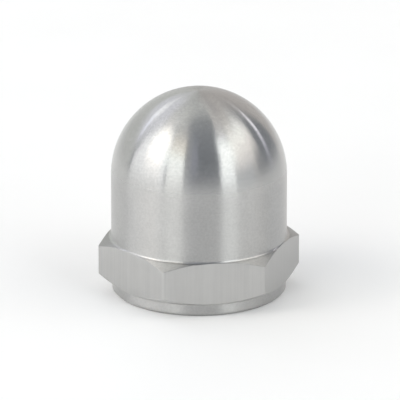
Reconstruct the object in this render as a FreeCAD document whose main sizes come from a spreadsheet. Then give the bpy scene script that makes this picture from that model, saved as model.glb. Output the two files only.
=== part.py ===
import FreeCAD, Part

# Domed propeller nut: one piece of aluminium, turned and tapped from hexagon bar.
# The frame has +Z up, with the origin in the middle of the seating face, and millimetres.
# Two corners of the hexagon point along +X and -X, and two flats face +Y and -Y.

import math
import os

import Sketcher

V = FreeCAD.Vector

NODE = "domed_nut"
SHEET = "Dimensions"
HEXAGON_SIDES = 6
HALF_SIDE_ANGLE = math.pi / HEXAGON_SIDES
BROKEN_STATES = ("Invalid", "Error")

# Driving dimensions: alias, value, what it measures
DIMENSIONS = (
    ("across_flats", 22.0, "hexagon across its flats, a 22 mm spanner"),
    ("hexagon_height", 5.4, "hexagon from the collar to the foot of the barrel"),
    ("hexagon_corner_radius", 0.5, "rounding of the hexagon bar's six corners"),
    ("chamfer_angle", 30.0, "slope of both turned chamfers on the hexagon, in degrees"),
    ("chamfer_land", 0.1, "flat shoulder between the root radius and the upper chamfer"),
    ("collar_diameter", 21.6, "round collar that bears on the propeller washer"),
    ("collar_height", 1.5, "collar from the seating face to the hexagon"),
    ("collar_edge_chamfer", 0.3, "broken edge round the seating face"),
    ("barrel_diameter", 21.8, "cylinder above the hexagon, and the dome on it"),
    ("barrel_height", 8.0, "cylinder from the hexagon to the start of the dome"),
    ("root_radius", 0.3, "tool nose radius left at the foot of the barrel"),
    ("thread_diameter", 8.0, "nominal diameter of the M8 thread"),
    ("thread_pitch", 1.25, "pitch of the M8 thread"),
    ("thread_depth", 15.0, "full thread, from the seating face"),
    ("tap_runout", 2.5, "drilled length past the full thread"),
    ("drill_point_angle", 118.0, "point of the tapping drill, in degrees"),
    ("countersink_margin", 0.3, "countersink outside the thread, on the radius"),
    ("countersink_angle", 90.0, "included angle of the countersink, in degrees"),
    ("bar_allowance", 1.0, "bar left above the dome for turning it"),
    ("turning_clearance", 1.0, "reach of the turned cuts outside the corners"),
)
SIZE = {alias: value for alias, value, meaning in DIMENSIONS}

# Derived sizes, as expressions of the sheet's cells
SHOULDER_Z = f"{SHEET}.collar_height + {SHEET}.hexagon_height"
DOME_Z = f"{SHOULDER_Z} + {SHEET}.barrel_height"
BARREL_RADIUS = f"{SHEET}.barrel_diameter / 2"
BAR_Z = f"{DOME_Z} + {BARREL_RADIUS} + {SHEET}.bar_allowance"
COLLAR_RADIUS = f"{SHEET}.collar_diameter / 2"
SHOULDER_RADIUS = f"{BARREL_RADIUS} + {SHEET}.root_radius + {SHEET}.chamfer_land"
CUT_RADIUS = f"{SHEET}.across_flats / 2 / cos(30 deg) + {SHEET}.turning_clearance"
TAP_DRILL = f"{SHEET}.thread_diameter - {SHEET}.thread_pitch"
DRILL_DEPTH = f"{SHEET}.thread_depth + {SHEET}.tap_runout"
COUNTERSINK = f"{SHEET}.thread_diameter + 2 * {SHEET}.countersink_margin"


def add_sheet(doc):
    """Write the driving dimensions into a sheet, one aliased cell each."""
    sheet = doc.addObject("Spreadsheet::Sheet", SHEET)
    for row, (alias, value, meaning) in enumerate(DIMENSIONS, start=1):
        sheet.set(f"A{row}", alias)
        sheet.set(f"B{row}", str(value))
        sheet.setAlias(f"B{row}", alias)
        sheet.set(f"C{row}", meaning)
    doc.recompute()
    return sheet


def add_sketch(body, name, plane_role):
    """Start a sketch on one of the body's own origin planes."""
    sketch = body.newObject("Sketcher::SketchObject", name)
    plane = next(item for item in body.Origin.OriginFeatures if item.Role == plane_role)
    sketch.AttachmentSupport = (plane, [""])
    sketch.MapMode = "FlatFace"
    return sketch


def polar(radius, angle):
    """Return the sketch point at a radius and an angle from the X axis."""
    return V(radius * math.cos(angle), radius * math.sin(angle), 0)


def add_line(sketch, start, end):
    """Add a line between two points and return its number."""
    return sketch.addGeometry(Part.LineSegment(start, end), False)


def add_circle(sketch, radius, construction):
    """Add a circle about the sketch's origin and return its number."""
    number = sketch.addGeometry(Part.Circle(V(0, 0, 0), V(0, 0, 1), radius), construction)
    relate(sketch, "Coincident", number, 3, -1, 1)
    return number


def add_arc(sketch, centre, radius, first, last):
    """Add an anticlockwise arc from the first to the last angle and return its number."""
    circle = Part.Circle(centre, V(0, 0, 1), radius)
    return sketch.addGeometry(Part.ArcOfCircle(circle, first, last), False)


def relate(sketch, kind, *places):
    """Add a constraint that has no size."""
    sketch.addConstraint(Sketcher.Constraint(kind, *places))


def drive(sketch, name, expression, kind, *places):
    """Add a named constraint whose size follows an expression."""
    number = sketch.addConstraint(Sketcher.Constraint(kind, *places))
    sketch.renameConstraint(number, name)
    sketch.setExpression(f"Constraints.{name}", expression)


def draw_hexagon(sketch):
    """Draw the rounded hexagon with one corner on the X axis."""
    inner = SIZE["across_flats"] / 2
    radius = SIZE["hexagon_corner_radius"]
    reach = (inner - radius) / math.cos(HALF_SIDE_ANGLE)
    corners = []
    sides = []
    for corner in range(HEXAGON_SIDES):
        angle = 2 * HALF_SIDE_ANGLE * corner
        before, after = angle - HALF_SIDE_ANGLE, angle + HALF_SIDE_ANGLE
        centre, following = polar(reach, angle), polar(reach, after + HALF_SIDE_ANGLE)
        outward = polar(radius, after)
        corners.append(add_arc(sketch, centre, radius, before, after))
        sides.append(add_line(sketch, centre + outward, following + outward))
    guide = add_circle(sketch, reach, True)
    for place in range(HEXAGON_SIDES):
        relate(sketch, "Tangent", corners[place], 2, sides[place], 1)
        relate(sketch, "Tangent", sides[place - 1], 2, corners[place], 1)
        relate(sketch, "PointOnObject", corners[place], 3, guide)
    for place in range(1, HEXAGON_SIDES):
        relate(sketch, "Equal", corners[0], corners[place])
        relate(sketch, "Equal", sides[0], sides[place])
    relate(sketch, "PointOnObject", corners[0], 3, -1)
    drive(sketch, "corner_r", f"{SHEET}.hexagon_corner_radius", "Radius", corners[0], radius)
    drive(sketch, "half_flats", f"{SHEET}.across_flats / 2", "Distance", -1, 1, sides[0], inner)


def add_bar(body):
    """Pad the hexagon bar from the seating face to above the dome."""
    sketch = add_sketch(body, "HexagonSketch", "XY_Plane")
    draw_hexagon(sketch)
    bar = body.newObject("PartDesign::Pad", "HexagonBar")
    bar.Profile = sketch
    bar.setExpression("Length", BAR_Z)


def cut_radius():
    """Return how far out the turned cuts reach, outside the hexagon's corners."""
    return SIZE["across_flats"] / 2 / math.cos(HALF_SIDE_ANGLE) + SIZE["turning_clearance"]


def turn(body, name, sketch):
    """Cut the sketch once round the part's upright axis."""
    cut = body.newObject("PartDesign::Groove", name)
    cut.Profile = sketch
    cut.ReferenceAxis = (sketch, ["V_Axis"])
    cut.Angle = 360


def turn_dome(body):
    """Turn the dome, the barrel, its root radius and the hexagon's upper chamfer."""
    sketch = add_sketch(body, "DomeSketch", "XZ_Plane")
    radius = SIZE["barrel_diameter"] / 2
    root = SIZE["root_radius"]
    shoulder = SIZE["collar_height"] + SIZE["hexagon_height"]
    centre = shoulder + SIZE["barrel_height"]
    pole = centre + radius
    top = pole + SIZE["bar_allowance"]
    land = radius + root + SIZE["chamfer_land"]
    reach = cut_radius()
    slope = math.radians(SIZE["chamfer_angle"])
    low = shoulder - (reach - land) * math.tan(slope)

    stock = add_line(sketch, V(0, top), V(reach, top))
    side = add_line(sketch, V(reach, top), V(reach, low))
    chamfer = add_line(sketch, V(reach, low), V(land, shoulder))
    flat = add_line(sketch, V(land, shoulder), V(radius + root, shoulder))
    nose = add_arc(sketch, V(radius + root, shoulder + root), root, math.pi, 1.5 * math.pi)
    barrel = add_line(sketch, V(radius, shoulder + root), V(radius, centre))
    dome = add_arc(sketch, V(0, centre), radius, 0, math.pi / 2)
    axis = add_line(sketch, V(0, pole), V(0, top))

    relate(sketch, "Coincident", stock, 2, side, 1)
    relate(sketch, "Coincident", side, 2, chamfer, 1)
    relate(sketch, "Coincident", chamfer, 2, flat, 1)
    relate(sketch, "Tangent", flat, 2, nose, 2)
    relate(sketch, "Tangent", nose, 1, barrel, 1)
    relate(sketch, "Tangent", barrel, 2, dome, 1)
    relate(sketch, "Coincident", dome, 2, axis, 1)
    relate(sketch, "Coincident", axis, 2, stock, 1)
    relate(sketch, "Horizontal", stock)
    relate(sketch, "Vertical", side)
    relate(sketch, "Horizontal", flat)
    relate(sketch, "Vertical", barrel)
    relate(sketch, "PointOnObject", dome, 3, -2)
    relate(sketch, "PointOnObject", dome, 2, -2)
    relate(sketch, "PointOnObject", stock, 1, -2)
    drive(sketch, "dome_radius", BARREL_RADIUS, "Radius", dome, radius)
    drive(sketch, "root_radius", f"{SHEET}.root_radius", "Radius", nose, root)
    drive(sketch, "shoulder_z", SHOULDER_Z, "DistanceY", -1, 1, flat, 1, shoulder)
    drive(sketch, "shoulder_r", SHOULDER_RADIUS, "DistanceX", -1, 1, flat, 1, land)
    drive(sketch, "dome_z", DOME_Z, "DistanceY", -1, 1, dome, 3, centre)
    drive(sketch, "bar_z", BAR_Z, "DistanceY", -1, 1, stock, 1, top)
    drive(sketch, "cut_r", CUT_RADIUS, "DistanceX", -1, 1, stock, 2, reach)
    drive(sketch, "slope", f"180 - {SHEET}.chamfer_angle", "Angle", chamfer, math.pi - slope)
    turn(body, "TurnedDome", sketch)


def turn_collar(body):
    """Turn the collar, its broken edge and the hexagon's lower chamfer."""
    sketch = add_sketch(body, "CollarSketch", "XZ_Plane")
    radius = SIZE["collar_diameter"] / 2
    height = SIZE["collar_height"]
    edge = SIZE["collar_edge_chamfer"]
    reach = cut_radius()
    slope = math.radians(SIZE["chamfer_angle"])
    high = height + (reach - radius) * math.tan(slope)

    face = add_line(sketch, V(radius - edge, 0), V(reach, 0))
    side = add_line(sketch, V(reach, 0), V(reach, high))
    chamfer = add_line(sketch, V(reach, high), V(radius, height))
    collar = add_line(sketch, V(radius, height), V(radius, edge))
    broken = add_line(sketch, V(radius, edge), V(radius - edge, 0))

    loop = (face, side, chamfer, collar, broken)
    for place, line in enumerate(loop):
        relate(sketch, "Coincident", loop[place - 1], 2, line, 1)
    relate(sketch, "Horizontal", face)
    relate(sketch, "Vertical", side)
    relate(sketch, "Vertical", collar)
    relate(sketch, "PointOnObject", face, 1, -1)
    drive(sketch, "collar_r", COLLAR_RADIUS, "DistanceX", -1, 1, collar, 1, radius)
    drive(sketch, "collar_z", f"{SHEET}.collar_height", "DistanceY", -1, 1, collar, 1, height)
    drive(sketch, "edge_z", f"{SHEET}.collar_edge_chamfer", "DistanceY", -1, 1, collar, 2, edge)
    drive(sketch, "edge_r", f"{SHEET}.collar_edge_chamfer", "DistanceX", broken, 2, broken, 1, edge)
    drive(sketch, "cut_r", CUT_RADIUS, "DistanceX", -1, 1, face, 2, reach)
    drive(sketch, "slope", f"{SHEET}.chamfer_angle - 180", "Angle", chamfer, slope - math.pi)
    turn(body, "TurnedCollar", sketch)


def drill_thread(body):
    """Drill and countersink the blind hole for the thread, from the seating face."""
    sketch = add_sketch(body, "ThreadSketch", "XY_Plane")
    drill = (SIZE["thread_diameter"] - SIZE["thread_pitch"]) / 2
    ring = add_circle(sketch, drill, False)
    drive(sketch, "drill_r", f"({TAP_DRILL}) / 2", "Radius", ring, drill)
    body.Document.recompute()
    hole = body.newObject("PartDesign::Hole", "ThreadHole")
    hole.Profile = sketch
    hole.Reversed = True
    hole.DepthType = "Dimension"
    hole.DrillPoint = "Angled"
    hole.DrillForDepth = False
    hole.HoleCutType = "Countersink"
    hole.HoleCutCustomValues = True
    hole.setExpression("Diameter", TAP_DRILL)
    hole.setExpression("Depth", DRILL_DEPTH)
    hole.setExpression("DrillPointAngle", f"{SHEET}.drill_point_angle")
    hole.setExpression("HoleCutDiameter", COUNTERSINK)
    hole.setExpression("HoleCutCountersinkAngle", f"{SHEET}.countersink_angle")


def build_nut(doc):
    """Make the nut's body: hexagon bar, dome, collar and thread hole."""
    body = doc.addObject("PartDesign::Body", "DomedNut")
    body.Label = NODE
    body.Placement = FreeCAD.Placement()
    add_bar(body)
    doc.recompute()
    for make in (turn_dome, turn_collar, drill_thread):
        before = body.Shape.Volume
        make(body)
        doc.recompute()
        if body.Shape.Volume >= before:
            raise RuntimeError(f"{make.__name__} removed nothing")
    return body


def check(doc):
    """Stop when any object is broken or any shape isn't valid."""
    for item in doc.Objects:
        if any(state in BROKEN_STATES for state in item.State):
            raise RuntimeError(f"{item.Name} is {item.State}")
        shape = getattr(item, "Shape", None)
        if shape is not None and (shape.isNull() or not shape.isValid()):
            raise RuntimeError(f"{item.Name} has no valid shape")


def main():
    doc = FreeCAD.newDocument("DomedPropellerNut")
    add_sheet(doc)
    nut = build_nut(doc)
    check(doc)
    os.makedirs("parts", exist_ok=True)
    nut.Shape.exportStep(os.path.join("parts", f"{nut.Label}.step"))


main()
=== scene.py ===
import math

import bpy
import numpy as np
from mathutils import Matrix, Vector


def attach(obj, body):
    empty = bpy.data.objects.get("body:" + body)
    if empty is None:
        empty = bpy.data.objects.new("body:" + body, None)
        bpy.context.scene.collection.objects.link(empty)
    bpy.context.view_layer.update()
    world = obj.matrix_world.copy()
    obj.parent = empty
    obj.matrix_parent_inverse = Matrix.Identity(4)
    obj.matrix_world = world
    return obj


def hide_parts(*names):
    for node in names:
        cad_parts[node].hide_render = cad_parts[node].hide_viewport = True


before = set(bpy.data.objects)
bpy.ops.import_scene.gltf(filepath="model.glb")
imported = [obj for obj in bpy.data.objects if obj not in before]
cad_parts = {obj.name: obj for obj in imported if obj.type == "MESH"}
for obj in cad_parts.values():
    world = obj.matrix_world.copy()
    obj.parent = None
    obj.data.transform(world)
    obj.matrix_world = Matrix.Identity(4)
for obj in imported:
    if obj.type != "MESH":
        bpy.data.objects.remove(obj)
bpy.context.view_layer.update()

MM = 0.001

# Sizes of the nut, in millimetres and degrees
ACROSS_FLATS = 22.0
HEXAGON_HEIGHT = 5.4
CORNER_RADIUS = 0.5
CHAMFER_ANGLE = 30.0
CHAMFER_LAND = 0.1
COLLAR_DIAMETER = 21.6
COLLAR_HEIGHT = 1.5
COLLAR_CHAMFER = 0.3
BARREL_DIAMETER = 21.8
BARREL_HEIGHT = 8.0
ROOT_RADIUS = 0.3
THREAD_DIAMETER = 8.0
THREAD_PITCH = 1.25
THREAD_FLANK_ANGLE = 30.0
THREAD_DEPTH = 15.0
THREAD_FADE = 1.2
TAP_RUNOUT = 2.5
DRILL_POINT_ANGLE = 118.0
COUNTERSINK_MARGIN = 0.3

# Machined edges are broken by this much, in millimetres
EDGE_BREAK = 0.04
FINE_BREAK = 0.02

# How finely the mesh follows the nut: counts of points or steps, and angles
CORNER_POINTS = 9
CORNER_MARGINS = (0.003, 0.010, 0.022)
FLAT_POINTS = 44
POLE_ANGLES = (0.8, 1.8, 3.0)
DOME_ANGLES = np.linspace(4.5, 90.0, 58)
SHOULDER_STEPS = 14
SHOULDER_CROWDING = 1.6
BORE_STEPS = 96

SHOULDER_Z = COLLAR_HEIGHT + HEXAGON_HEIGHT
DOME_Z = SHOULDER_Z + BARREL_HEIGHT
BARREL_R = BARREL_DIAMETER / 2
COLLAR_R = COLLAR_DIAMETER / 2
FOOT_R = BARREL_R + ROOT_RADIUS
LAND_R = FOOT_R + CHAMFER_LAND
SLOPE = math.tan(math.radians(CHAMFER_ANGLE))
DRILL_R = (THREAD_DIAMETER - THREAD_PITCH) / 2
COUNTERSINK_R = THREAD_DIAMETER / 2 + COUNTERSINK_MARGIN
STITCH_R = COUNTERSINK_R + 1.0
THREAD_END = THREAD_DEPTH + THREAD_FADE
DRILL_Z = THREAD_DEPTH + TAP_RUNOUT
DRILL_TIP_Z = DRILL_Z + DRILL_R / math.tan(math.radians(DRILL_POINT_ANGLE / 2))

# Rounded corners of the hexagon: where each arc is centred and how far round it reaches
HALF_SIDE = math.pi / 6
CORNER_CENTRE = (ACROSS_FLATS / 2 - CORNER_RADIUS) / math.cos(HALF_SIDE)
CORNER_REACH = math.atan2(
    CORNER_RADIUS * math.sin(HALF_SIDE), CORNER_CENTRE + CORNER_RADIUS * math.cos(HALF_SIDE)
)

# Shares of the pitch that one flank and the root of the thread take up
FLANK_SHARE = math.tan(math.radians(THREAD_FLANK_ANGLE)) / 2
ROOT_SHARE = 1 / 8

# Kinds of surface, in the order of the mesh's material slots
TURNED, CHAMFERED, DRAWN, FACED, TAPPED = range(5)

# Which way a profile runs on its way down
OUTWARDS, UPRIGHT, INWARDS = -1, 0, 1

# Millimetres of profile that fill the texture's height
TEXTURE_SPAN = 100


# Outline of the nut

def hexagon_radius(angle):
    """Distance from the axis to the rounded hexagon's side, at an angle from the X axis."""
    turn = abs((angle + HALF_SIDE) % (2 * HALF_SIDE) - HALF_SIDE)
    if turn > CORNER_REACH:
        return ACROSS_FLATS / 2 / math.cos(HALF_SIDE - turn)
    across = CORNER_CENTRE * math.sin(turn)
    return CORNER_CENTRE * math.cos(turn) + math.sqrt(CORNER_RADIUS ** 2 - across ** 2)


def azimuths():
    """Angles of the mesh's upright columns: even steps on the flats, closer ones at corners."""
    arc = [
        math.atan2(CORNER_RADIUS * math.sin(a), CORNER_CENTRE + CORNER_RADIUS * math.cos(a))
        for a in np.linspace(-HALF_SIDE, HALF_SIDE, CORNER_POINTS)
    ]
    before = [-CORNER_REACH - margin for margin in reversed(CORNER_MARGINS)]
    after = [CORNER_REACH + margin for margin in CORNER_MARGINS]
    even = list(np.linspace(after[-1], 2 * HALF_SIDE - after[-1], FLAT_POINTS)[1:-1])
    angles = [
        (2 * HALF_SIDE * corner + turn) % (2 * math.pi)
        for corner in range(6)
        for turn in before + arc + after + even
    ]
    return sorted(angles)


def shoulder_z(radius):
    """Height of the turned surface outside the barrel: root radius, land, then chamfer."""
    if radius < FOOT_R:
        return SHOULDER_Z + ROOT_RADIUS - math.sqrt(ROOT_RADIUS ** 2 - (FOOT_R - radius) ** 2)
    return SHOULDER_Z - max(radius - LAND_R, 0.0) * SLOPE


def under_z(radius):
    """Height of the chamfer under the hexagon."""
    return COLLAR_HEIGHT + max(radius - COLLAR_R, 0.0) * SLOPE


def bend(start, corner, end, steps=4):
    """Points of a small curve from start to end that rounds the corner."""
    shares = [step / steps for step in range(steps + 1)]
    return [
        tuple((1 - t) ** 2 * a + 2 * t * (1 - t) * b + t ** 2 * c for a, b, c in zip(start, corner, end))
        for t in shares
    ]


def straight(start, end, steps):
    """Points of a straight run from start to end."""
    return [
        tuple(a + (b - a) * step / steps for a, b in zip(start, end))
        for step in range(steps + 1)
    ]


def column(angle):
    """Runs of profile points (radius, z) at one azimuth, each with its kind of surface and its way."""
    side = hexagon_radius(angle)
    lip = side - EDGE_BREAK
    top, low = shoulder_z(side), under_z(side)
    dome = [
        (BARREL_R * math.sin(psi), DOME_Z + BARREL_R * math.cos(psi))
        for psi in np.radians(np.concatenate([POLE_ANGLES, DOME_ANGLES]))
    ]
    barrel = straight(dome[-1], (BARREL_R, SHOULDER_Z + ROOT_RADIUS), steps=14)
    shares = [(step / SHOULDER_STEPS) ** SHOULDER_CROWDING for step in range(1, SHOULDER_STEPS + 1)]
    spread = [BARREL_R + (lip - BARREL_R) * share for share in shares]
    shoulder = [(radius, shoulder_z(radius)) for radius in spread]
    upper_edge = bend(shoulder[-1], (side, top), (side, top - EDGE_BREAK))
    flat = straight(upper_edge[-1], (side, low + EDGE_BREAK), steps=6)
    lower_edge = bend(flat[-1], (side, low), (lip, under_z(lip)))
    inner = COLLAR_R + FINE_BREAK
    under = straight(lower_edge[-1], (inner, under_z(inner)), steps=4)
    corner = bend(under[-1], (COLLAR_R, COLLAR_HEIGHT), (COLLAR_R, COLLAR_HEIGHT - FINE_BREAK))
    collar = straight(corner[-1], (COLLAR_R, COLLAR_CHAMFER + FINE_BREAK), steps=4)
    foot_r = COLLAR_R - COLLAR_CHAMFER
    outer_break = bend(
        collar[-1], (COLLAR_R, COLLAR_CHAMFER), (COLLAR_R - FINE_BREAK, COLLAR_CHAMFER - FINE_BREAK)
    )
    inner_break = bend((foot_r + FINE_BREAK, FINE_BREAK), (foot_r, 0.0), (foot_r - FINE_BREAK, 0.0))
    face = straight(inner_break[-1], (STITCH_R, 0.0), steps=7)
    return [
        (TURNED, OUTWARDS, dome + barrel[1:]),
        (CHAMFERED, OUTWARDS, shoulder + upper_edge[1:]),
        (DRAWN, UPRIGHT, flat[1:]),
        (
            CHAMFERED,
            INWARDS,
            lower_edge[1:] + under[1:] + corner[1:] + collar[1:] + outer_break[1:] + inner_break,
        ),
        (FACED, INWARDS, face[1:]),
    ]


def grain_place(angle, point, lean):
    """Texture place of a profile point: u follows the machining lines and v runs across them."""
    radius, z = point
    return angle / (2 * math.pi), 0.5 + (z + lean * radius) / TEXTURE_SPAN


# Thread

def thread_bite(turns):
    """How deep the thread cuts past the drilled hole, from 0 to 1, along one pitch."""
    away = abs(turns % 1.0 - 0.5)
    return min(1.0, max(0.0, 1.0 - (away - ROOT_SHARE / 2) / FLANK_SHARE))


def bore_radius(angle, z):
    """Radius of the tapped hole at an azimuth and a height."""
    fade = min(1.0, max(0.0, (THREAD_END - z) / THREAD_FADE))
    bite = thread_bite(z / THREAD_PITCH - angle / (2 * math.pi))
    thread = DRILL_R + (THREAD_DIAMETER / 2 - DRILL_R) * bite * fade
    return max(thread, COUNTERSINK_R - z)


def thread_rows():
    """Places along one pitch, in turns, where the helical rows of the mesh run."""
    root_start, root_end = 0.5 - ROOT_SHARE / 2, 0.5 + ROOT_SHARE / 2
    edges = [root_start - FLANK_SHARE, root_start, root_end, root_end + FLANK_SHARE]
    rows = []
    for first, last in zip(edges, edges[1:] + [edges[0] + 1.0]):
        count = 4 if last - first > 0.2 else 2
        rows += [first + (last - first) * step / count for step in range(count)]
    return rows


# Mesh

class Mesh:
    """Vertices and faces with a kind and a texture place for each."""

    def __init__(self):
        self.points = []
        self.index = {}
        self.faces = []
        self.kinds = []
        self.places = []

    def point(self, x, y, z):
        """Number of the vertex at a place, which is added when it is new."""
        key = (round(x, 5), round(y, 5), round(z, 5))
        if key not in self.index:
            self.index[key] = len(self.points)
            self.points.append((x * MM, y * MM, z * MM))
        return self.index[key]

    def face(self, corners, places, kind):
        """Add a face, without the corners that fall on their neighbour."""
        kept = [i for i in range(len(corners)) if corners[i] != corners[i - 1]]
        if len(kept) > 2:
            self.faces.append([corners[i] for i in kept])
            self.places.append([places[i] for i in kept])
            self.kinds.append(kind)


def polar(radius, angle, z):
    return radius * math.cos(angle), radius * math.sin(angle), z


def add_outside(mesh, angles):
    """Add the dome, barrel, hexagon, collar and seating face, and return the last ring."""
    columns = [column(angle) for angle in angles]
    steps = [(kind, lean) for kind, lean, run in columns[0] for point in run][1:]
    rows = [[point for kind, lean, run in parts for point in run] for parts in columns]
    numbers = [
        [mesh.point(*polar(radius, angle, z)) for radius, z in row]
        for angle, row in zip(angles, rows)
    ]
    top = (0.0, DOME_Z + BARREL_R)
    pole = mesh.point(*polar(top[0], 0.0, top[1]))
    for left in range(len(angles)):
        right = (left + 1) % len(angles)
        start = angles[left]
        end = angles[right] if right else angles[0] + 2 * math.pi
        mesh.face(
            (pole, numbers[left][0], numbers[right][0]),
            (
                grain_place((start + end) / 2, top, OUTWARDS),
                grain_place(start, rows[left][0], OUTWARDS),
                grain_place(end, rows[right][0], OUTWARDS),
            ),
            TURNED,
        )
        for row, (kind, lean) in enumerate(steps):
            mesh.face(
                (numbers[left][row], numbers[left][row + 1], numbers[right][row + 1], numbers[right][row]),
                (
                    grain_place(start, rows[left][row], lean),
                    grain_place(start, rows[left][row + 1], lean),
                    grain_place(end, rows[right][row + 1], lean),
                    grain_place(end, rows[right][row], lean),
                ),
                kind,
            )
    return [column_numbers[-1] for column_numbers in numbers]


def add_stitch(mesh, outer, outer_angles, inner, inner_angles):
    """Join two flat rings that have different numbers of vertices."""
    i = j = 0
    outer_point, inner_point = (STITCH_R, 0.0), (COUNTERSINK_R, 0.0)
    outer_turns = list(outer_angles) + [outer_angles[0] + 2 * math.pi]
    inner_turns = list(inner_angles) + [inner_angles[0] + 2 * math.pi]
    while i < len(outer) or j < len(inner):
        a, b = outer[i % len(outer)], inner[j % len(inner)]
        place_a = grain_place(outer_turns[i], outer_point, INWARDS)
        place_b = grain_place(inner_turns[j], inner_point, INWARDS)
        step_out = j == len(inner) or (i < len(outer) and outer_turns[i + 1] <= inner_turns[j + 1])
        if step_out:
            i += 1
            c, place_c = outer[i % len(outer)], grain_place(outer_turns[i], outer_point, INWARDS)
        else:
            j += 1
            c, place_c = inner[j % len(inner)], grain_place(inner_turns[j], inner_point, INWARDS)
        mesh.face((a, b, c), (place_a, place_b, place_c), FACED)


def bore_column(angle):
    """Heights of one column of the tapped hole, along the thread's helix."""
    start = COUNTERSINK_MARGIN
    lead = angle / (2 * math.pi)
    heights = [start]
    for turn in range(-2, int(THREAD_END / THREAD_PITCH) + 2):
        for place in thread_rows():
            z = (turn + place + lead) * THREAD_PITCH
            heights.append(min(max(z, start), THREAD_END))
    return heights + [THREAD_END]


def add_bore(mesh):
    """Add the countersink, thread and drill point, and return the mouth's ring and angles."""
    angles = [2 * math.pi * step / BORE_STEPS for step in range(BORE_STEPS + 1)]
    mouth = [
        (COUNTERSINK_R, 0.0),
        (COUNTERSINK_R - FINE_BREAK, FINE_BREAK),
        (THREAD_DIAMETER / 2, COUNTERSINK_MARGIN),
    ]
    drilled = straight((DRILL_R, THREAD_END), (DRILL_R, DRILL_Z), steps=2)
    point = straight((DRILL_R, DRILL_Z), (FINE_BREAK, DRILL_TIP_Z), steps=5)
    columns = []
    for angle in angles:
        thread = [(bore_radius(angle, z), z) for z in bore_column(angle)]
        columns.append(mouth + thread + drilled[1:] + point[1:])
    numbers = []
    for angle, points in zip(angles, columns):
        at = 0.0 if angle == angles[-1] else angle
        numbers.append([mesh.point(*polar(radius, at, z)) for radius, z in points])
    tip = mesh.point(0.0, 0.0, DRILL_TIP_Z)
    for left in range(BORE_STEPS):
        near, far = numbers[left], numbers[left + 1]
        start, end = angles[left], angles[left + 1]
        places = [
            [grain_place(angle, point, OUTWARDS) for point in columns[side]]
            for side, angle in ((left, start), (left + 1, end))
        ]
        for row in range(len(near) - 1):
            mesh.face(
                (near[row], near[row + 1], far[row + 1], far[row]),
                (places[0][row], places[0][row + 1], places[1][row + 1], places[1][row]),
                FACED if row < len(mouth) - 1 else TAPPED,
            )
        middle = grain_place((start + end) / 2, (0.0, DRILL_TIP_Z), OUTWARDS)
        mesh.face((near[-1], tip, far[-1]), (places[0][-1], middle, places[1][-1]), TAPPED)
    return [row[0] for row in numbers[:-1]], angles[:-1]


def build_nut():
    """Make the nut's mesh object."""
    mesh = Mesh()
    angles = azimuths()
    ring = add_outside(mesh, angles)
    mouth, mouth_angles = add_bore(mesh)
    add_stitch(mesh, ring, angles, mouth, mouth_angles)
    data = bpy.data.meshes.new("nut")
    data.from_pydata(mesh.points, [], mesh.faces)
    data.polygons.foreach_set("material_index", mesh.kinds)
    data.polygons.foreach_set("use_smooth", [True] * len(mesh.faces))
    layer = data.uv_layers.new(name="UVMap")
    layer.data.foreach_set("uv", [c for places in mesh.places for place in places for c in place])
    data.validate()
    data.update()
    nut = bpy.data.objects.new("nut", data)
    bpy.context.scene.collection.objects.link(nut)
    weighted = nut.modifiers.new("normals", "WEIGHTED_NORMAL")
    weighted.weight = 100
    return nut


# Materials

# Bare aluminium where it is a little darker and a little lighter
METAL_DARK = (0.460, 0.457, 0.448)
METAL_LIGHT = (0.530, 0.526, 0.515)

# Where the lathe's polish starts and where it is full, and where the chamfers are rougher
POLISH_START = DOME_Z - 0.6
POLISH_FULL = DOME_Z + 2.0
ROOT_POLISHED = BARREL_R + 0.04
CHAMFER_ROUGH = FOOT_R + 0.05
CHAMFER_ROUGHER = 1.8

# Cells of noise to a metre, for the fine speckle, the wear and the drawn grain
SPECKLE = 3600.0
WEAR = 260.0
GRAIN = 2600.0


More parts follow.
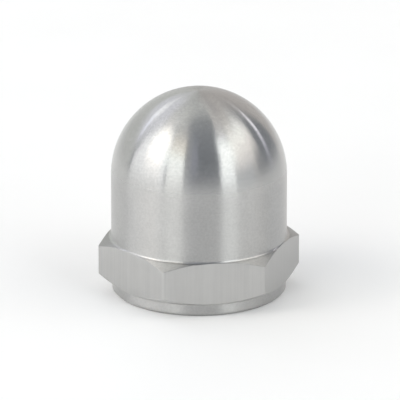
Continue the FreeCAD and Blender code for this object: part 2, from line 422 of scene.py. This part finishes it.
class Nodes:
    """Short ways to add and join the nodes of one material."""

    def __init__(self, name):
        self.material = bpy.data.materials.new(name)
        self.material.use_nodes = True
        self.tree = self.material.node_tree
        self.tree.nodes.clear()
        self.shader = self.tree.nodes.new("ShaderNodeBsdfPrincipled")
        output = self.tree.nodes.new("ShaderNodeOutputMaterial")
        self.tree.links.new(self.shader.outputs["BSDF"], output.inputs["Surface"])
        place = self.tree.nodes.new("ShaderNodeTexCoord")
        self.object_place = place.outputs["Object"]

    def put(self, socket, value):
        """Link a socket, or set the value that it has all over."""
        if isinstance(value, bpy.types.NodeSocket):
            self.tree.links.new(value, socket)
        else:
            socket.default_value = value

    def math(self, operation, first, second=0.0):
        node = self.tree.nodes.new("ShaderNodeMath")
        node.operation = operation
        self.put(node.inputs[0], first)
        self.put(node.inputs[1], second)
        return node.outputs[0]

    def mixture(self, *parts):
        """Add up values, each with its share."""
        total = 0.0
        for value, share in parts:
            node = self.tree.nodes.new("ShaderNodeMath")
            node.operation = "MULTIPLY_ADD"
            for socket, part in zip(node.inputs, (value, share, total)):
                self.put(socket, part)
            total = node.outputs[0]
        return total

    def split(self, vector):
        node = self.tree.nodes.new("ShaderNodeSeparateXYZ")
        self.put(node.inputs[0], vector)
        return node.outputs

    def join(self, x, y, z):
        node = self.tree.nodes.new("ShaderNodeCombineXYZ")
        for socket, value in zip(node.inputs, (x, y, z)):
            self.put(socket, value)
        return node.outputs[0]

    def noise(self, vector, scale, detail=2.0, roughness=0.5):
        node = self.tree.nodes.new("ShaderNodeTexNoise")
        self.put(node.inputs["Vector"], vector)
        node.inputs["Scale"].default_value = scale
        node.inputs["Detail"].default_value = detail
        node.inputs["Roughness"].default_value = roughness
        return node.outputs["Fac"]

    def span(self, value, low, high, from_low=0.3, from_high=0.7):
        """Map a value to a range, clamped. Noise values mostly lie between 0.3 and 0.7."""
        node = self.tree.nodes.new("ShaderNodeMapRange")
        self.put(node.inputs["Value"], value)
        node.inputs["From Min"].default_value = from_low
        node.inputs["From Max"].default_value = from_high
        node.inputs["To Min"].default_value = low
        node.inputs["To Max"].default_value = high
        return node.outputs["Result"]

    def blend(self, share, first, second):
        """Mix two colours by a share."""
        node = self.tree.nodes.new("ShaderNodeMix")
        node.data_type = "RGBA"
        self.put(node.inputs["Factor"], share)
        for socket in node.inputs:
            if socket.type == "RGBA":
                socket.default_value = (*(first if socket.name == "A" else second), 1.0)
        return next(socket for socket in node.outputs if socket.type == "RGBA")

    def bump(self, height, strength, distance):
        node = self.tree.nodes.new("ShaderNodeBump")
        node.inputs["Strength"].default_value = strength
        node.inputs["Distance"].default_value = distance
        self.put(node.inputs["Height"], height)
        self.put(self.shader.inputs["Normal"], node.outputs["Normal"])

    def tangent(self):
        node = self.tree.nodes.new("ShaderNodeTangent")
        node.direction_type = "UV_MAP"
        node.uv_map = "UVMap"
        self.put(self.shader.inputs["Tangent"], node.outputs["Tangent"])


def turned(name, polished, satin, stretch, lines, relief):
    """Metal turned in a lathe: fine rings round the axis, polished above the barrel and satin below."""
    nodes = Nodes(name)
    x, y, z = nodes.split(nodes.object_place)
    squares = nodes.math("ADD", nodes.math("MULTIPLY", x, x), nodes.math("MULTIPLY", y, y))
    radius = nodes.math("SQRT", squares)
    turn = nodes.math("ARCTAN2", y, x)
    rings = nodes.join(radius, z, nodes.math("MULTIPLY", turn, 0.0004))
    fine = nodes.noise(rings, lines, 3.0, 0.6)
    wide = nodes.noise(rings, lines / 9, 2.0, 0.5)
    wear = nodes.noise(nodes.object_place, WEAR, 4.0, 0.6)
    speckle = nodes.noise(nodes.object_place, SPECKLE, 2.0, 0.6)
    dome = nodes.span(z, 0.0, 1.0, POLISH_START * MM, POLISH_FULL * MM)
    root = nodes.span(radius, 0.0, 1.0, BARREL_R * MM, ROOT_POLISHED * MM)
    polish = nodes.math("MAXIMUM", dome, root)
    spots = nodes.mixture((fine, 0.2), (wear, 0.3), (speckle, 0.5))
    share = nodes.span(spots, 0.0, 1.0, 0.38, 0.62)
    nodes.put(nodes.shader.inputs["Base Color"], nodes.blend(share, METAL_DARK, METAL_LIGHT))
    unevenness = nodes.span(nodes.mixture((wide, 0.4), (wear, 0.3), (speckle, 0.3)), 0.97, 1.03)
    smooth = nodes.math("MULTIPLY", nodes.span(polish, satin, polished, 0.0, 1.0), unevenness)
    chamfer = nodes.span(radius, 1.0, CHAMFER_ROUGHER, FOOT_R * MM, CHAMFER_ROUGH * MM)
    nodes.put(nodes.shader.inputs["Roughness"], nodes.math("MULTIPLY", smooth, chamfer))
    nodes.shader.inputs["Metallic"].default_value = 1.0
    nodes.shader.inputs["Anisotropic"].default_value = stretch
    nodes.shader.inputs["Anisotropic Rotation"].default_value = 0.25
    nodes.tangent()
    ring_height = nodes.math("MULTIPLY", fine, nodes.span(dome, 1.8, 0.3, 0.0, 1.0))
    pitting = nodes.math("MULTIPLY", speckle, nodes.span(dome, 0.5, 2.0, 0.0, 1.0))
    nodes.bump(nodes.math("ADD", ring_height, pitting), 0.5, relief)
    return nodes.material


def drawn(name):
    """The bar's own drawn flats: satin, with faint grain along the bar."""
    nodes = Nodes(name)
    x, y, z = nodes.split(nodes.object_place)
    grain = nodes.noise(nodes.join(x, y, nodes.math("MULTIPLY", z, 0.03)), GRAIN, 3.0, 0.6)
    wear = nodes.noise(nodes.object_place, 320.0, 4.0, 0.6)
    streaks = nodes.mixture((grain, 0.6), (wear, 0.4))
    share = nodes.span(streaks, 0.0, 1.0)
    nodes.put(nodes.shader.inputs["Base Color"], nodes.blend(share, METAL_DARK, METAL_LIGHT))
    nodes.put(nodes.shader.inputs["Roughness"], nodes.span(streaks, 0.34, 0.46))
    nodes.shader.inputs["Metallic"].default_value = 1.0
    nodes.shader.inputs["Anisotropic"].default_value = 0.4
    nodes.tangent()
    nodes.bump(grain, 0.4, 0.000004)
    return nodes.material


def tapped(name):
    """The thread's cut flanks."""
    nodes = Nodes(name)
    wear = nodes.noise(nodes.object_place, 900.0, 3.0, 0.6)
    share = nodes.span(wear, 0.0, 1.0)
    nodes.put(nodes.shader.inputs["Base Color"], nodes.blend(share, METAL_DARK, METAL_LIGHT))
    nodes.put(nodes.shader.inputs["Roughness"], nodes.span(wear, 0.28, 0.42))
    nodes.shader.inputs["Metallic"].default_value = 1.0
    nodes.bump(wear, 0.3, 0.000006)
    return nodes.material


# Studio

# Where the photograph was taken from: round the object, above it, and how far off
AZIMUTH = -9.63
ELEVATION = 19.31
DISTANCE = 84.9 * BARREL_R * MM
LENS = 671.0
SENSOR = 36.0
AIM_UP = 0.393 * BARREL_R
AIM_RIGHT = 0.0115 * BARREL_R


def direction(azimuth, elevation):
    """Unit vector from the object; azimuths count from the camera, anticlockwise from above."""
    a = math.radians(azimuth + AZIMUTH)
    e = math.radians(elevation)
    return Vector((math.sin(a) * math.cos(e), -math.cos(a) * math.cos(e), math.sin(e)))


def add_camera():
    """Set up the camera where the photograph was taken from."""
    data = bpy.data.cameras.new("camera")
    data.lens = LENS
    data.sensor_width = SENSOR
    data.clip_start = 0.01
    data.clip_end = 10.0
    camera = bpy.data.objects.new("camera", data)
    bpy.context.scene.collection.objects.link(camera)
    back = direction(0.0, ELEVATION)
    right = Vector((0, 0, 1)).cross(back).normalized()
    up = back.cross(right)
    aim = Vector((0, 0, SHOULDER_Z)) * MM + up * AIM_UP * MM + right * AIM_RIGHT * MM
    camera.location = aim + back * DISTANCE
    camera.rotation_mode = "QUATERNION"
    camera.rotation_quaternion = back.to_track_quat("Z", "Y")
    bpy.context.scene.camera = camera


# Upright soft boxes: the azimuths from the camera between which each one stands, the elevations
# between which it is seen from the nut, and the red, green and blue light that it adds
BOXES = (
    ("key_left", -104, -56, 26, 58, (1.65, 1.65, 1.65)),
    ("key_left_core", -88, -60, 26, 56, (1.35, 1.20, 1.00)),
    ("key_left_low", -104, -48, 1, 26, (1.35, 1.35, 1.35)),
    ("strip_left_high", -56, -24, 40, 58, (1.15, 1.00, 0.75)),
    ("strip_left_mid", -56, -22.5, 26, 40, (1.75, 1.90, 1.90)),
    ("strip_left", -45, -21, 1, 26, (1.35, 1.35, 1.30)),
    ("strip_left_foot", -45, -21, 1, 13, (2.40, 2.40, 2.55)),
    ("glow_left", -21, -12, 1, 58, (0.25, 0.25, 0.25)),
    ("glow_front", -12, -2, 20, 58, (0.20, 0.20, 0.25)),
    ("key_right_low", 29, 50, 1, 26, (1.50, 1.55, 1.55)),
    ("key_right_mid", 34, 60, 26, 40, (1.95, 2.00, 1.90)),
    ("key_right_high", 35, 60, 40, 57, (2.10, 2.15, 2.15)),
    ("key_right_outer", 60, 106, 26, 40, (1.35, 1.25, 1.15)),
    ("key_right_top", 60, 116, 40, 56, (1.70, 1.70, 1.60)),
    ("key_right_side", 50, 88, 14, 26, (0.95, 0.90, 0.85)),
    ("foot_right", 50, 78, 1, 13, (0.15, 0.20, 0.25)),
    ("wall_right_near", 106, 140, 38, 56, (0.25, 0.25, 0.25)),
    ("wall_right", 140, 180, 1, 56, (0.40, 0.35, 0.30)),
    ("wall_left", -180, -108, 1, 56, (0.50, 0.50, 0.45)),
    ("wall_left_high", -168, -108, 26, 56, (0.30, 0.30, 0.40)),
)
# Boxes that hang higher up and face the nut
TOP_BOXES = (
    ("top_left", -110, -20, 58, 76, (0.35, 0.35, 0.35)),
    ("top_front", -14, 60, 58, 88, (0.10, 0.10, 0.10)),
    ("top_right", 60, 160, 58, 76, (0.50, 0.45, 0.40)),
    ("top_back", 150, 260, 58, 84, (0.65, 0.65, 0.60)),
)
# Narrow tubes of light, from one azimuth and elevation to another, with their width in degrees
TUBES = (
    ("tube_right_low", (112, 8.5), (119, 22.5), 2.4, (0.80, 0.80, 1.00)),
    ("tube_right", (119, 22.5), (137, 36.5), 2.6, (2.85, 2.75, 2.90)),
    ("tube_left", (-118.5, 28.5), (-134, 37), 2.5, (0.80, 0.85, 1.20)),
    ("tube_left_high", (-132, 38), (-152, 40), 8.0, (0.85, 0.85, 0.80)),
)
SURROUND = (0.30, 0.32, 0.35)
BOX_DISTANCE = 1.0

FLOOR_REACH = 3.0
PAPER_DARK = (0.95, 0.95, 0.95)
PAPER_LIGHT = (0.97, 0.97, 0.97)


def add_lamp(name, place, turn, width, height, light):
    """Add a flat lamp that shines the same light from each part of it."""
    data = bpy.data.lights.new(name, "AREA")
    data.shape = "RECTANGLE"
    data.size = width
    data.size_y = height
    level = sum(light) / 3
    data.energy = level * math.pi * width * height
    data.color = [part / level for part in light]
    lamp = bpy.data.objects.new(name, data)
    lamp.location = place
    lamp.rotation_mode = "QUATERNION"
    lamp.rotation_quaternion = turn
    bpy.context.scene.collection.objects.link(lamp)


def add_box(name, first, last, low, high, light):
    """Add an upright soft box."""
    back = direction((first + last) / 2, 0.0)
    width = 2 * BOX_DISTANCE * math.tan(math.radians((last - first) / 2))
    foot, head = (BOX_DISTANCE * math.tan(math.radians(angle)) for angle in (low, high))
    place = back * BOX_DISTANCE + Vector((0, 0, (foot + head) / 2))
    add_lamp(name, place, back.to_track_quat("Z", "Y"), width, head - foot, light)


def add_top_box(name, first, last, low, high, light):
    """Add a soft box that is tilted down to the nut."""
    middle = (low + high) / 2
    back = direction((first + last) / 2, middle)
    half_width = (last - first) / 2 * math.cos(math.radians(middle))
    width = 2 * BOX_DISTANCE * math.tan(math.radians(half_width))
    height = 2 * BOX_DISTANCE * math.tan(math.radians((high - low) / 2))
    add_lamp(name, back * BOX_DISTANCE, back.to_track_quat("Z", "Y"), width, height, light)


def add_tube(name, start, end, width, light):
    """Add a narrow straight lamp between two directions from the nut."""
    first, last = (direction(*place) * BOX_DISTANCE for place in (start, end))
    middle = (first + last) / 2
    along = (last - first).normalized()
    across = middle.normalized().cross(along).normalized()
    turn = Matrix((along, across, along.cross(across))).transposed().to_quaternion()
    thickness = 2 * BOX_DISTANCE * math.tan(math.radians(width / 2))
    add_lamp(name, middle, turn, (last - first).length, thickness, light)


def add_floor():
    """Lay a sheet of pale paper under the nut."""
    data = bpy.data.meshes.new("floor")
    corners = [(x * FLOOR_REACH, y * FLOOR_REACH, 0) for x, y in ((-1, -1), (1, -1), (1, 1), (-1, 1))]
    data.from_pydata(corners, [], [(0, 1, 2, 3)])
    floor = bpy.data.objects.new("floor", data)
    nodes = Nodes("floor_paper")
    tint = nodes.noise(nodes.object_place, 40.0, 3.0, 0.5)
    share = nodes.span(tint, 0.0, 1.0)
    nodes.put(nodes.shader.inputs["Base Color"], nodes.blend(share, PAPER_DARK, PAPER_LIGHT))
    nodes.shader.inputs["Roughness"].default_value = 0.6
    data.materials.append(nodes.material)
    bpy.context.scene.collection.objects.link(floor)


def add_world():
    """Surround the studio with plain dim light."""
    world = bpy.data.worlds.new("studio")
    world.use_nodes = True
    world.node_tree.nodes["Background"].inputs["Color"].default_value = (*SURROUND, 1.0)
    bpy.context.scene.world = world


def main():
    """Build the nut and the studio."""
    add_camera()
    nut = build_nut()
    for material in (
        turned("turned_aluminium", 0.24, 0.33, 0.96, 9000.0, 0.000003),
        turned("chamfered_aluminium", 0.28, 0.33, 0.94, 9000.0, 0.000003),
        drawn("drawn_aluminium"),
        turned("faced_aluminium", 0.30, 0.34, 0.85, 5200.0, 0.000004),
        tapped("tapped_aluminium"),
    ):
        nut.data.materials.append(material)
    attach(nut, "root")
    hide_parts("domed_nut")
    add_floor()
    add_world()
    for box in BOXES:
        add_box(*box)
    for box in TOP_BOXES:
        add_top_box(*box)
    for tube in TUBES:
        add_tube(*tube)
    bpy.context.scene.view_settings.view_transform = "Standard"


main()
